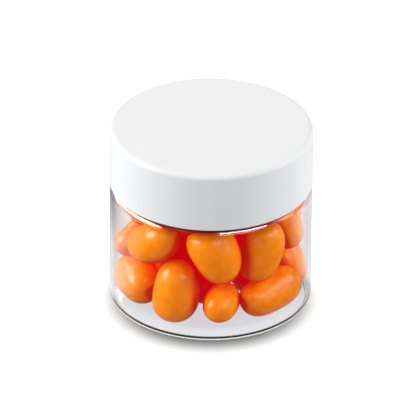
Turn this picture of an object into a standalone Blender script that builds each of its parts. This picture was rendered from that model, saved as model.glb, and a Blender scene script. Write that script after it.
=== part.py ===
"""Jar of mints: a small round jar of clear plastic with a white screw lid, filled with sugar-shelled mints.

Metres, +Z up. The origin is on the table, in the middle of the jar's foot, and the front looks towards -Y.
"""

import math

import bmesh
import bpy
import numpy as np

# ---- Driving sizes -------------------------------------------------------------------------------------

FACETS = 56  # sides of every turned piece
SHARP_ANGLE = 35  # degrees, from which an edge is drawn sharp
WELD = 1e-6

# Jar: a thin straight wall, a thin raised bottom in a narrow foot ring, a shoulder, and a neck under the lid
JAR_RADIUS = 0.0249
WALL = 0.00085
FLOOR = 0.0016
BOTTOM = 0.0006  # thickness of the bottom, which is raised in the middle
FLOOR_EDGE = 0.0010  # height of the floor along the wall
RISE_OUTSIDE = 0.0230
RISE_INSIDE = 0.0205
FOOT_CORNER = 0.0008
FLOOR_CORNER = 0.0004
FOOT_RING_INSIDE = 0.0235
FOOT_SLOPE = 0.0002
SHOULDER_TOP = 0.0312
SHOULDER_ROUND = 0.0016
SHOULDER_WALL = 0.0011
NECK_RADIUS = 0.0222
NECK_WALL = 0.0012
NECK_TOP = 0.0447
RIM_ROUND = 0.0004

# Lid: a plain cap with a rounded top edge
LID_RADIUS = 0.0250
LID_FOOT = 0.0315
LID_TOP = 0.0466
LID_ROUND = 0.0012
LID_WALL = 0.0015
LID_EDGE = 0.0003

# Thread: one start on the neck and one inside the lid, half a pitch apart
THREAD_PITCH = 0.0034
THREAD_TURNS = 1.25
THREAD_DEPTH = 0.0009
THREAD_ROOT = 0.0013
THREAD_CREST = 0.0005
THREAD_SUNK = 0.0004
NECK_THREAD_START = 0.0350
THREAD_STEPS = 48
THREAD_RUN_OUT = 0.12  # share of the thread's length over which each end rises from the wall

# Mints: a heap that fills the jar, with a clear gap all round. The heap's core is what shows between them.
GAP = 0.0003
HEAP_TOP = 0.0440
CORE_SHARE = 0.77  # size of the core, as a share of the inside of the jar
FIRST_ROW = 0.005  # from the middle of the floor, and of the top, to the first row of points
HEAP_FACETS = 60
HEAP_ROWS = 31
HEAP_TRIES = 81  # places tried for a point on its way out, from the core to the far side of a mint

# The mints that show at the front, from left to right and bottom to top: bearing in degrees from the front,
# positive to the right; height of the middle; lean of the long axis from level; how far its end turns out
# of the wall; length; width; how far the mint lies in from the wall.
FRONT_MINTS = (
    (-115, 0.0108, -10, 10, 0.0140, 0.0086, 0.0),
    (-90, 0.0139, 0, 84, 0.0150, 0.0080, 0.0),
    (-72, 0.0066, 4, -4, 0.0162, 0.0103, 0.0),
    (-46, 0.0217, 34, -4, 0.0156, 0.0103, 0.0),
    (-27, 0.0096, 88, -4, 0.0162, 0.0114, 0.0),
    (3.5, 0.0213, -65, 1, 0.0158, 0.0119, 0.0),
    (9.5, 0.0069, 163, 67, 0.0140, 0.0088, 0.0),
    (41.5, 0.0199, 80, 10, 0.0163, 0.0105, 0.0),
    (51.5, 0.0065, 3, 6, 0.0172, 0.0099, 0.0),
    (73, 0.0240, 79, -30, 0.0158, 0.0098, 0.0006),
    (95, 0.0094, 52, -23, 0.0157, 0.0103, 0.0),
)

# The other mints are poured in over them and sink until they touch
LOOSE_MINTS = 33
POUR_SEED = 7
LOOSE_LENGTHS = (0.0146, 0.0170)
LOOSE_WIDTHS = (0.0096, 0.0110)
POUR_RADIUS = 0.015
POUR_HEIGHTS = (0.006, 0.075)
STEPS = 1200
SINKING = 0.5  # share of the steps in which they sink at full speed
SLOWING = 0.6  # and at a slow speed
SINK = 0.00016
SLOW_SINK = 0.00002
EASY_GIVING = 0.6  # share of a push that a mint gives way to in one step, until the slowing is over
FULL_GIVING = 0.9  # and after it
TURNING = 6.0  # how far a push turns a mint, against the square of its length
UPRIGHTNESS = 0.6  # under 1, they start out lying flatter than at random
DECIMALS = 7  # kept after every step, so that the heap comes out the same on any machine
HAIR = 1e-9  # keeps a distance from being nought
BEADS = 5  # balls along a mint's axis, which stand for it while it sinks
BEAD_END = 0.74  # size of the last ball, as a share of the mint's width


# ---- Shared steps --------------------------------------------------------------------------------------


def finish(name, colour, roughness, alpha=1.0):
    """A Principled material in a linear colour."""
    material = bpy.data.materials.new(name)
    material.use_nodes = True
    shader = material.node_tree.nodes["Principled BSDF"]
    shader.inputs["Base Color"].default_value = (*colour, 1.0)
    shader.inputs["Roughness"].default_value = roughness
    shader.inputs["Metallic"].default_value = 0.0
    shader.inputs["Alpha"].default_value = alpha
    return material


def add_object(name, bm, material):
    """Writes the bmesh into a new object with its own material, faces pointing out."""
    bmesh.ops.recalc_face_normals(bm, faces=bm.faces)
    mesh = bpy.data.meshes.new(name)
    bm.to_mesh(mesh)
    bm.free()
    mesh.materials.append(material)
    mesh.shade_smooth()
    mesh.set_sharp_from_angle(angle=math.radians(SHARP_ANGLE))
    made = bpy.data.objects.new(name, mesh)
    bpy.context.scene.collection.objects.link(made)
    return made


def arc(centre, radius, start, end, steps):
    """Points of a round corner in the (radius, height) plane, from one angle in degrees to another."""
    angles = np.radians(np.linspace(start, end, steps + 1))
    return [(centre[0] + radius * math.cos(a), centre[1] + radius * math.sin(a)) for a in angles]


def turned(profile):
    """A bmesh of the profile turned once about the Z axis. The profile starts and ends on the axis."""
    bm = bmesh.new()
    points = [bm.verts.new((r, 0.0, z)) for r, z in profile]
    edges = [bm.edges.new(pair) for pair in zip(points, points[1:])]
    bmesh.ops.spin(
        bm,
        geom=points + edges,
        cent=(0, 0, 0),
        axis=(0, 0, 1),
        angle=2 * math.pi,
        steps=FACETS,
        use_merge=True,
    )
    bmesh.ops.remove_doubles(bm, verts=bm.verts, dist=WELD)
    return bm


def thread_ridge(name, wall_radius, outward, start_height):
    """A helical ridge with a trapezoid section that stands out of a round wall, as its own object.

    outward is 1 on a neck and -1 inside a lid. Both ends sink into the wall.
    """
    bm = bmesh.new()
    rings = []
    steps = round(THREAD_STEPS * THREAD_TURNS)
    for i in range(steps + 1):
        share = i / steps
        rise = min(1.0, share / THREAD_RUN_OUT, (1 - share) / THREAD_RUN_OUT)
        angle = 2 * math.pi * THREAD_TURNS * share
        middle = start_height + THREAD_PITCH * THREAD_TURNS * share
        root = wall_radius - outward * THREAD_SUNK
        crest = wall_radius + outward * (THREAD_DEPTH * rise - THREAD_SUNK / 2 * (1 - rise))
        section = (
            (root, middle - THREAD_ROOT / 2),
            (crest, middle - THREAD_CREST / 2),
            (crest, middle + THREAD_CREST / 2),
            (root, middle + THREAD_ROOT / 2),
        )
        rings.append([bm.verts.new((r * math.cos(angle), r * math.sin(angle), z)) for r, z in section])
    for near, far in zip(rings, rings[1:]):
        for k, after in ((0, 1), (1, 2), (2, 3), (3, 0)):
            bm.faces.new((near[k], near[after], far[after], far[k]))
    bm.faces.new(rings[0])
    bm.faces.new(rings[-1])
    ridge = add_object(name, bm, bpy.data.materials.new(name))
    ridge.hide_render = True
    ridge.display_type = "WIRE"
    return ridge


def join_ridge(body, ridge):
    """Joins the thread's ridge to its wall."""
    union = body.modifiers.new("thread", "BOOLEAN")
    union.operation = "UNION"
    union.solver = "EXACT"
    union.object = ridge


# ---- Jar: clear plastic with an even thin wall, a foot ring and a threaded neck ------------------------


def make_jar():
    inside = JAR_RADIUS - WALL
    neck_inside = NECK_RADIUS - NECK_WALL
    foot = JAR_RADIUS - FOOT_CORNER
    shoulder = JAR_RADIUS - SHOULDER_ROUND
    shoulder_foot = SHOULDER_TOP - SHOULDER_ROUND
    inner_top = SHOULDER_TOP - SHOULDER_WALL
    inner_round = inside - shoulder
    rim_middle = (NECK_RADIUS - RIM_ROUND, NECK_TOP - RIM_ROUND)
    rim_inside = (neck_inside + RIM_ROUND, NECK_TOP - RIM_ROUND)
    profile = [(0.0, FLOOR - BOTTOM), (RISE_INSIDE, FLOOR - BOTTOM)]
    profile += [(RISE_OUTSIDE, FLOOR_EDGE - BOTTOM), (FOOT_RING_INSIDE, FLOOR_EDGE - BOTTOM)]
    profile += [(FOOT_RING_INSIDE + FOOT_SLOPE, 0.0)]
    profile += arc((foot, FOOT_CORNER), FOOT_CORNER, -90, 0, steps=3)
    profile += arc((shoulder, shoulder_foot), SHOULDER_ROUND, 0, 90, steps=4)
    profile += [(NECK_RADIUS, SHOULDER_TOP)]
    profile += arc(rim_middle, RIM_ROUND, 0, 90, steps=2)
    profile += arc(rim_inside, RIM_ROUND, 90, 180, steps=2)
    profile += [(neck_inside, inner_top + inner_round), (neck_inside + inner_round, inner_top)]
    profile += arc((shoulder, inner_top - inner_round), inner_round, 90, 0, steps=3)
    profile += arc((inside - FLOOR_CORNER, FLOOR_EDGE + FLOOR_CORNER), FLOOR_CORNER, 0, -90, steps=2)
    profile += [(RISE_OUTSIDE, FLOOR_EDGE), (RISE_INSIDE, FLOOR), (0.0, FLOOR)]
    clear = finish("clear plastic", (0.90, 0.91, 0.94), roughness=0.05, alpha=0.25)
    jar = add_object("jar", turned(profile), clear)
    ridge = thread_ridge("neck_thread", NECK_RADIUS, 1, NECK_THREAD_START)
    join_ridge(jar, ridge)


# ---- Lid: white plastic screw cap ----------------------------------------------------------------------


def make_lid():
    inside = LID_RADIUS - LID_WALL
    profile = [(0.0, LID_TOP)]
    profile += arc((LID_RADIUS - LID_ROUND, LID_TOP - LID_ROUND), LID_ROUND, 90, 0, steps=5)
    profile += arc((LID_RADIUS - LID_EDGE, LID_FOOT + LID_EDGE), LID_EDGE, 0, -90, steps=2)
    profile += [(inside + LID_EDGE, LID_FOOT), (inside, LID_FOOT + LID_EDGE)]
    profile += [(inside, LID_TOP - LID_WALL), (0.0, LID_TOP - LID_WALL)]
    lid = add_object("lid", turned(profile), finish("white plastic", (0.86, 0.86, 0.86), roughness=0.35))
    ridge = thread_ridge("lid_thread", inside, -1, NECK_THREAD_START - THREAD_PITCH / 2)
    join_ridge(lid, ridge)


# ---- Mints: one heap of sugar-shelled mints, solid out to the bumps of its outer mints -----------------


def inside_radius(height):
    """The jar's inside radius at a height: its wall, then the shoulder's slope, then the neck."""
    top = SHOULDER_TOP - SHOULDER_WALL
    slope = SHOULDER_WALL
    return np.interp(height, (top - slope, top), (JAR_RADIUS - WALL, NECK_RADIUS - NECK_WALL))


def beads_of(lengths, widths):
    """Each mint's balls: their places along its axis, and their radii, which shrink towards its ends."""
    places = np.linspace(-1, 1, BEADS)
    reach = (lengths - BEAD_END * widths) / 2
    return places * reach[:, None], widths[:, None] / 2 * (1 - (1 - BEAD_END) * places**2)


def seated_mint(bearing, height, lean, turn_out, length, width, inset):
    """The middle and the long axis of a mint that touches the wall, or lies in from it by the inset."""
    bearing, lean, turn_out = (math.radians(angle) for angle in (bearing, lean, turn_out))
    outward = np.array((math.sin(bearing), -math.cos(bearing), 0.0))
    level = np.array((math.cos(bearing), math.sin(bearing), 0.0))
    upward = np.array((0.0, 0.0, 1.0))
    along_wall = math.cos(lean) * level + math.sin(lean) * upward
    axis = math.cos(turn_out) * along_wall + math.sin(turn_out) * outward
    places, radii = beads_of(np.array((length,)), np.array((width,)))
    offsets = places[0][:, None] * axis
    height = max(height, FLOOR + (radii[0] - offsets[:, 2]).max())
    room = inside_radius(height + offsets[:, 2]) - radii[0]
    ahead = offsets @ outward
    aside = (offsets[:, :2] ** 2).sum(axis=1) - ahead**2
    middle = outward * ((np.sqrt(room**2 - aside) - ahead).min() - inset)
    middle[2] = height
    return middle, axis


def poured_mints():
    """Middles, long axes, lengths and widths of all mints: the front ones, and the loose ones at rest.

    Each step moves a loose mint down a little, and out of every mint, wall or floor that one of its balls
    has entered, and turns it by the same pushes' torque about its middle. Two loose mints share a push
    between them; a front one is held, and leaves all of it to the loose one.
    """
    draw = np.random.default_rng(POUR_SEED)
    lengths = np.concatenate(([m[4] for m in FRONT_MINTS], draw.uniform(*LOOSE_LENGTHS, LOOSE_MINTS)))
    widths = np.concatenate(([m[5] for m in FRONT_MINTS], draw.uniform(*LOOSE_WIDTHS, LOOSE_MINTS)))
    bearings = draw.uniform(0, 2 * math.pi, LOOSE_MINTS)
    radii = POUR_RADIUS * np.sqrt(draw.uniform(0, 1, LOOSE_MINTS))
    heights = np.linspace(*POUR_HEIGHTS, LOOSE_MINTS)
    poured = np.stack((radii * np.cos(bearings), radii * np.sin(bearings), heights), axis=1)
    tumbled = draw.normal(size=(LOOSE_MINTS, 3)) * (1.0, 1.0, UPRIGHTNESS)
    tumbled /= np.linalg.norm(tumbled, axis=1)[:, None]
    seated = [seated_mint(*shown) for shown in FRONT_MINTS]
    middles = np.concatenate(([middle for middle, axis in seated], poured))
    axes = np.concatenate(([axis for middle, axis in seated], tumbled))
    count = len(middles)
    loose = (np.arange(count) >= len(FRONT_MINTS)).astype(float)[:, None]
    places, sizes = beads_of(lengths, widths)
    owner = np.repeat(np.arange(count), BEADS)
    sizes = sizes.ravel()
    touching = sizes[:, None] + sizes
    touching[owner[:, None] == owner] = 0.0
    share = 1 - loose[owner].T / 2  # one half from a loose mint, and the whole from a held one
    for step in range(STEPS):
        arms = places[..., None] * axes[:, None]
        balls = (middles[:, None] + arms).reshape(-1, 3)
        apart = balls[:, None] - balls
        distance = np.sqrt((apart**2).sum(axis=-1)) + HAIR
        push = (apart * (np.maximum(touching - distance, 0) * share / distance)[..., None]).sum(axis=1)
        radius = np.hypot(balls[:, 0], balls[:, 1]) + HAIR
        outside = np.maximum(radius + sizes - inside_radius(balls[:, 2]), 0) / radius
        push[:, :2] -= outside[:, None] * balls[:, :2]
        push[:, 2] += np.maximum(FLOOR + sizes - balls[:, 2], 0)
        if step > SINKING * STEPS:
            push[:, 2] -= np.maximum(balls[:, 2] + sizes - HEAP_TOP, 0)
        push = push.reshape(count, BEADS, 3)
        hits = np.maximum((np.abs(push).sum(axis=-1) > 0).sum(axis=1), 1)[:, None]
        turn = np.cross(arms, push).sum(axis=1) / hits * TURNING / (lengths**2)[:, None]
        giving = EASY_GIVING if step < SLOWING * STEPS else FULL_GIVING
        move = push.sum(axis=1) / hits * giving
        if step < SINKING * STEPS:
            move[:, 2] -= SINK
        elif step < SLOWING * STEPS:
            move[:, 2] -= SLOW_SINK
        middles = np.round(middles + move * loose, DECIMALS)
        axes = axes + np.cross(turn, axes) * loose
        axes = np.round(axes / np.linalg.norm(axes, axis=1)[:, None], DECIMALS)
    return middles, axes, lengths, widths


def core_rows():
    """Evenly spaced rows over the jar's inside, from the middle of the floor to the middle of the heap's top.

    Gives each row's point on the core, in the (radius, height) plane, and the way from it to the jar. The
    core is the jar's inside made smaller about its own middle.
    """
    inside = JAR_RADIUS - WALL
    neck = NECK_RADIUS - NECK_WALL
    top = SHOULDER_TOP - SHOULDER_WALL
    corners = ((0, FLOOR), (inside, FLOOR), (inside, top), (neck, top), (neck, HEAP_TOP), (0, HEAP_TOP))
    corners = np.array(corners)
    lengths = np.linalg.norm(np.diff(corners, axis=0), axis=1)
    walked = np.concatenate(((0.0,), np.cumsum(lengths)))
    places = np.linspace(FIRST_ROW, walked[-1] - FIRST_ROW, HEAP_ROWS)
    places = np.concatenate(((0.0,), places, walked[-1:]))
    outer = np.stack([np.interp(places, walked, corners[:, k]) for k in (0, 1)], axis=1)
    middle = np.array((0.0, (FLOOR + HEAP_TOP) / 2))
    core = middle + (outer - middle) * CORE_SHARE
    ways = outer - core
    return core, ways / np.linalg.norm(ways, axis=1)[:, None]


def push_out(starts, ways):
    """Moves each core point along its way to the far side of the mints there, and never past the heap's gap.

    A mint is an ellipsoid here: a point is stretched along and across its axis until the mint is a ball.
    """
    far = np.zeros(len(starts))
    for middle, axis, length, width in zip(*poured_mints()):
        stretch = (np.eye(3) - np.outer(axis, axis)) * 2 / width + np.outer(axis, axis) * 2 / length
        start = (starts - middle) @ stretch
        way = ways @ stretch
        a = (way**2).sum(axis=1)
        b = (start * way).sum(axis=1)
        c = (start**2).sum(axis=1) - 1
        crossing = b * b - a * c
        out = (np.sqrt(np.maximum(crossing, 0.0)) - b) / a
        far = np.where(crossing > 0, np.maximum(far, out), far)
    shares = np.linspace(0.0, 1.0, HEAP_TRIES)[:, None, None]
    tried = starts + shares * far[:, None] * ways
    radii = np.hypot(tried[..., 0], tried[..., 1])
    heights = tried[..., 2]
    fits = (radii <= inside_radius(heights + GAP) - GAP) & (heights >= FLOOR + GAP) & (heights <= HEAP_TOP)
    last = fits.cumprod(axis=0).sum(axis=0) - 1
    return np.take_along_axis(tried, last[None, :, None], axis=0)[0]


def make_mints():
    """A grid over the core, row by row from the middle of the bottom to the middle of the top."""
    points, ways = core_rows()
    angles = np.linspace(0, 2 * math.pi, HEAP_FACETS, endpoint=False)
    round_about = np.stack((np.cos(angles), np.sin(angles)), axis=1)

    def ring(pairs):
        flat = pairs[1:-1, None, :1] * round_about
        upright = np.broadcast_to(pairs[1:-1, None, 1:], (*flat.shape[:2], 1))
        sweep = np.concatenate((flat, upright), axis=2).reshape(-1, 3)
        ends = np.array(((0.0, 0.0, pairs[0, 1]), (0.0, 0.0, pairs[-1, 1])))
        return np.concatenate((sweep, ends))

    places = push_out(ring(points), ring(ways))
    bm = bmesh.new()
    verts = [bm.verts.new(place) for place in places]
    bottom, top = verts[-2:]
    rows = [verts[i * HEAP_FACETS : (i + 1) * HEAP_FACETS] for i in range(HEAP_ROWS)]
    for k in range(HEAP_FACETS):
        after = (k + 1) % HEAP_FACETS
        bm.faces.new((bottom, rows[0][after], rows[0][k]))
        bm.faces.new((top, rows[-1][k], rows[-1][after]))
        for lower, upper in zip(rows, rows[1:]):
            bm.faces.new((lower[k], lower[after], upper[after], upper[k]))
    bmesh.ops.triangulate(bm, faces=bm.faces)
    add_object("mints", bm, finish("orange sugar shell", (1.0, 0.30, 0.02), roughness=0.4))


def clear_scene():
    for old in list(bpy.data.objects):
        bpy.data.objects.remove(old)


clear_scene()
make_jar()
make_lid()
make_mints()
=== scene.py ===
"""Jar of mints: a small round jar of clear plastic, its sugar-shelled mints and its white screw lid.

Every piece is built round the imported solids, in their frame: metres, +Z up, the front towards -Y.
"""

import math

import bpy
import numpy as np
from mathutils import Matrix


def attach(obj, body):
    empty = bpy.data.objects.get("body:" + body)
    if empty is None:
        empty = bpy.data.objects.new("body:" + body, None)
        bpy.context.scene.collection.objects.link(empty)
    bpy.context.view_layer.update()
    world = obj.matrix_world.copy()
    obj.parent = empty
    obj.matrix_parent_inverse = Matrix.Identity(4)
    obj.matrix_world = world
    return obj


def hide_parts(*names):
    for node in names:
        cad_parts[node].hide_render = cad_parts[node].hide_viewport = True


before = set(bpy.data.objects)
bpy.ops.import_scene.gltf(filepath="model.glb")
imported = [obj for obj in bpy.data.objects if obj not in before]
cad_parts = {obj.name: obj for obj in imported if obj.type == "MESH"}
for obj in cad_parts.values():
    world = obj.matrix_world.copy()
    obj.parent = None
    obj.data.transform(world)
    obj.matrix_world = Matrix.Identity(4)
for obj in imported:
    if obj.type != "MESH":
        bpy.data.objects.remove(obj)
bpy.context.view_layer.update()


# ---- Jar -----------------------------------------------------------------------------------------------
# The real jar is injection moulded from clear polystyrene: a straight wall under a millimetre thick, a
# rounded foot that stands on a ring, a small rounded shoulder and a threaded neck that the lid hides.

JAR_RADIUS = 0.0249
WALL = 0.00085
FLOOR = 0.0016
BOTTOM = 0.0006  # thickness of the bottom, which is raised in the middle
FLOOR_EDGE = 0.0010  # height of the floor along the wall
RISE_OUTSIDE = 0.0230
RISE_INSIDE = 0.0205
RISE_ROUND = 0.0060
FOOT_CORNER = 0.0008
FLOOR_CORNER = 0.0004
FOOT_RING_INSIDE = 0.0235
FOOT_SLOPE = 0.0002
GATE_RADIUS = 0.0011  # the dimple that the mould's gate leaves in the middle of the underside
GATE_DEPTH = 0.00015
SHOULDER_TOP = 0.0312
SHOULDER_ROUND = 0.0016
SHOULDER_WALL = 0.0011
NECK_RADIUS = 0.0222
NECK_WALL = 0.0012
NECK_TOP = 0.0447
RIM_ROUND = 0.0004
SMALL_ROUND = 0.00015
JAR_SEGMENTS = 224

THREAD_PITCH = 0.0034
THREAD_TURNS = 1.25
THREAD_DEPTH = 0.0009
THREAD_ROOT = 0.0013
THREAD_CREST = 0.0005
NECK_THREAD_START = 0.0350
THREAD_RUN_OUT = 0.12  # share of the thread's length over which each end rises from the wall
THREAD_ROWS = 64  # rows that the threaded wall is cut into, so that the ridge can stand out of it


def rounded(corners, radii, steps=10, hold=0.00004):
    """A profile in the (radius, height) plane: a polyline with an arc of its own radius in each corner.

    An arc runs between the two points where it leaves the corner's sides, each radius / tan(half the angle)
    from the corner, and its points are the two end spokes mixed by sines. A holding point stands a hair
    before and after each arc, so that the straight walls between the arcs shade as straight ones.
    """
    corners = np.array(corners)
    radii = np.array(radii)[:, None]
    here = corners[1:-1]
    back = corners[:-2] - here
    ahead = corners[2:] - here
    back /= np.linalg.norm(back, axis=1)[:, None]
    ahead /= np.linalg.norm(ahead, axis=1)[:, None]
    half = np.arccos(np.clip((back * ahead).sum(axis=1), -1, 1))[:, None] / 2
    reach = radii / np.tan(half)
    middle = back + ahead
    centre = here + middle / np.linalg.norm(middle, axis=1)[:, None] * radii / np.sin(half)
    first = here + back * reach - centre
    last = here + ahead * reach - centre
    sweep = (math.pi - 2 * half)[:, None]
    share = np.linspace(0, 1, steps + 1)[None, :, None]
    arcs = np.sin((1 - share) * sweep) * first[:, None] + np.sin(share * sweep) * last[:, None]
    arcs = arcs / np.sin(sweep) + centre[:, None]
    before = (here + back * (reach + hold))[:, None]
    after = (here + ahead * (reach + hold))[:, None]
    bends = np.concatenate((before, arcs, after), axis=1).reshape(-1, 2)
    return np.concatenate((corners[:1], bends, corners[-1:]))


def turned(profile, segments):
    """Rings of a profile turned about Z: at each angle a, (r cos a, r sin a, z). The ends are the poles."""
    angles = np.linspace(0, 2 * math.pi, segments, endpoint=False)
    radii = profile[1:-1, :1]
    heights = np.broadcast_to(profile[1:-1, 1:], (len(radii), segments))
    rings = np.stack((radii * np.cos(angles), radii * np.sin(angles), heights), axis=-1)
    poles = np.stack((np.zeros(2), np.zeros(2), profile[[0, -1], 1]), axis=-1)
    return rings[None], poles[None]


def closed_piece(name, rings, poles):
    """One object of several closed bodies. Each is a stack of rings with a pole at either end.

    rings is (bodies, rows, columns, 3) and poles is (bodies, 2, 3). A ring is joined to the next by
    four-sided faces, and the first and last ring to their poles by triangles. Faces look out where the rings
    climb from the first pole to the last and turn anticlockwise.
    """
    bodies, rows, columns, _ = rings.shape
    points = np.concatenate((rings.reshape(bodies, -1, 3), poles), axis=1)
    place = np.arange(rows * columns).reshape(rows, columns)
    after = np.roll(place, -1, axis=1)
    quads = np.stack((place[:-1], after[:-1], after[1:], place[1:]), axis=-1).reshape(-1, 4)
    low = np.full(columns, rows * columns)
    ends = np.concatenate((
        np.stack((low, after[0], place[0]), axis=-1),
        np.stack((low + 1, place[-1], after[-1]), axis=-1),
    ))
    start = (np.arange(bodies) * points.shape[1])[:, None, None]
    faces = (quads + start).reshape(-1, 4).tolist() + (ends + start).reshape(-1, 3).tolist()
    mesh = bpy.data.meshes.new(name)
    mesh.from_pydata(points.reshape(-1, 3).tolist(), [], faces)
    mesh.shade_smooth()
    made = bpy.data.objects.new(name, mesh)
    bpy.context.scene.collection.objects.link(made)
    return made


def with_thread(rings, rows, outward, start_height):
    """Raises a helical ridge on the given rows of a turned wall.

    Along the thread, the middle of the ridge climbs one pitch a turn. A point's rise is the depth times a
    ramp that falls from 1 at half the crest's width from the middle to 0 at half the root's, and times a ramp
    that runs out at each end of the thread. Outward is 1 for a ridge on the outside, and -1 for one inside.
    """
    x, y, z = np.moveaxis(rings[0, rows], -1, 0)
    turn = np.arctan2(y, x) / (2 * math.pi) % 1
    rise = np.zeros_like(z)
    for lap in range(math.ceil(THREAD_TURNS)):
        share = (turn + lap) / THREAD_TURNS
        away = np.abs(z - start_height - THREAD_PITCH * (turn + lap))
        ridge = np.clip((THREAD_ROOT / 2 - away) / (THREAD_ROOT - THREAD_CREST) * 2, 0, 1)
        ends = np.clip(np.minimum(share, 1 - share) / THREAD_RUN_OUT, 0, 1)
        rise = np.maximum(rise, ridge * ends)
    radius = np.hypot(x, y)
    grown = 1 + outward * THREAD_DEPTH * rise / radius
    rings[0, rows, :, 0] *= grown
    rings[0, rows, :, 1] *= grown


def spliced(profile, start, end, count):
    """Cuts the straight stretch of wall from start to end into evenly spaced rows.

    The stretch is the one whose ends lie nearest to the two given points. Gives the new profile, and the
    rows' places among its rings, which leave out the profile's first point.
    """
    start, end = np.array(start), np.array(end)
    share = np.linspace(0, 1, count + 2)[1:-1, None]
    rows = start + share * (end - start)
    misses = np.linalg.norm(profile[:-1] - start, axis=1) + np.linalg.norm(profile[1:] - end, axis=1)
    at = int(np.argmin(misses)) + 1
    return np.concatenate((profile[:at], rows, profile[at:])), np.arange(at - 1, at - 1 + count)


def linear(code):
    """A linear colour from an sRGB hex code: each channel by the sRGB curve."""
    srgb = np.array([int(code[i : i + 2], 16) for i in (0, 2, 4)]) / 255
    low = srgb / 12.92
    high = ((srgb + 0.055) / 1.055) ** 2.4
    return (*np.where(srgb <= 0.04045, low, high).tolist(), 1.0)


def new_material(name):
    """A material with no nodes yet."""
    material = bpy.data.materials.new(name)
    material.use_nodes = True
    material.node_tree.nodes.clear()
    return material


def add_node(holder, kind, settings=None, **sockets):
    """Adds a node to a material, a lamp or the world.

    settings are the node's own properties. Each socket gets a value, or a link from an output. It is given
    by its name, or by its place, as _0, _1 and so on. The places 1 and 2 of a map range are the two ends of
    what goes in, and 3 and 4 the two ends of what comes out.
    """
    tree = holder.node_tree
    made = tree.nodes.new(kind)
    for key, value in (settings or {}).items():
        setattr(made, key, value)
    for key, value in sockets.items():
        place = int(key[1:]) if key[0] == "_" else key.replace("_", " ")
        socket = made.inputs[place]
        if isinstance(value, bpy.types.NodeSocket):
            tree.links.new(value, socket)
        else:
            socket.default_value = value
    return made


inside = JAR_RADIUS - WALL
neck_inside = NECK_RADIUS - NECK_WALL
inner_top = SHOULDER_TOP - SHOULDER_WALL
jar_profile = rounded(
    (
        (0, FLOOR - BOTTOM + GATE_DEPTH),
        (GATE_RADIUS, FLOOR - BOTTOM + GATE_DEPTH),
        (GATE_RADIUS + GATE_DEPTH, FLOOR - BOTTOM),
        (RISE_INSIDE, FLOOR - BOTTOM),
        (RISE_OUTSIDE, FLOOR_EDGE - BOTTOM),
        (FOOT_RING_INSIDE, FLOOR_EDGE - BOTTOM),
        (FOOT_RING_INSIDE + FOOT_SLOPE, 0),
        (JAR_RADIUS, 0),
        (JAR_RADIUS, SHOULDER_TOP),
        (NECK_RADIUS, SHOULDER_TOP),
        (NECK_RADIUS, NECK_TOP),
        (neck_inside, NECK_TOP),
        (neck_inside, inner_top),
        (inside, inner_top),
        (inside, FLOOR_EDGE),
        (RISE_OUTSIDE, FLOOR_EDGE),
        (RISE_INSIDE, FLOOR),
        (0, FLOOR),
    ),
    (
        GATE_DEPTH / 3,
        GATE_DEPTH / 3,
        RISE_ROUND,
        SMALL_ROUND,
        SMALL_ROUND,
        SMALL_ROUND / 2,
        FOOT_CORNER,
        SHOULDER_ROUND,
        SMALL_ROUND,
        RIM_ROUND,
        RIM_ROUND,
        SHOULDER_WALL * 0.6,
        SHOULDER_ROUND - WALL,
        FLOOR_CORNER,
        SMALL_ROUND,
        RISE_ROUND,
    ),
)
jar_profile, neck_rows = spliced(
    jar_profile,
    (NECK_RADIUS, SHOULDER_TOP + SMALL_ROUND),
    (NECK_RADIUS, NECK_TOP - RIM_ROUND),
    THREAD_ROWS,
)
jar_rings, jar_poles = turned(jar_profile, JAR_SEGMENTS)
with_thread(jar_rings, neck_rows, 1, NECK_THREAD_START)
jar = closed_piece("clear_jar", jar_rings, jar_poles)

# Polystyrene, moulded against polished steel: as clear as glass, with a high IOR that makes its edges
# sparkle. A faint long waviness from the flow of the melt keeps its reflections from being ruler straight,
# and handling has left it a little less polished in patches.
WAVE_LENGTH = 0.009
WAVE_HEIGHT = 0.00001
SCUFF_SIZE = 0.004
SCUFFS_FROM = 0.35  # part of the noise over which polish turns into scuffs
SCUFFS_TO = 0.75
POLISHED = 0.01
SCUFFED = 0.05
POLYSTYRENE_IOR = 1.57
clear = new_material("moulded_clear_polystyrene")
place = add_node(clear, "ShaderNodeTexCoord").outputs["Object"]
waves = add_node(clear, "ShaderNodeTexNoise", Vector=place, Scale=1 / WAVE_LENGTH, Detail=1.0)
wavy = add_node(clear, "ShaderNodeBump", Strength=0.3, Distance=WAVE_HEIGHT, Height=waves.outputs["Fac"])
scuffs = add_node(clear, "ShaderNodeTexNoise", Vector=place, Scale=1 / SCUFF_SIZE, Detail=4.0)
polish = add_node(
    clear,
    "ShaderNodeMapRange",
    Value=scuffs.outputs["Fac"],
    _1=SCUFFS_FROM,
    _2=SCUFFS_TO,
    _3=POLISHED,
    _4=SCUFFED,
)
plastic = add_node(
    clear,
    "ShaderNodeBsdfPrincipled",
    Base_Color=linear("fbfbfd"),
    Roughness=polish.outputs["Result"],
    IOR=POLYSTYRENE_IOR,
    Transmission_Weight=1.0,
    Normal=wavy.outputs["Normal"],
)
# The plastic itself is a very little lilac, which shows where it is looked through edge on
LILAC_DEPTH = 65.0  # absorption for each metre
depth = add_node(clear, "ShaderNodeVolumeAbsorption", Color=linear("d8ccd6"), Density=LILAC_DEPTH)
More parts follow.
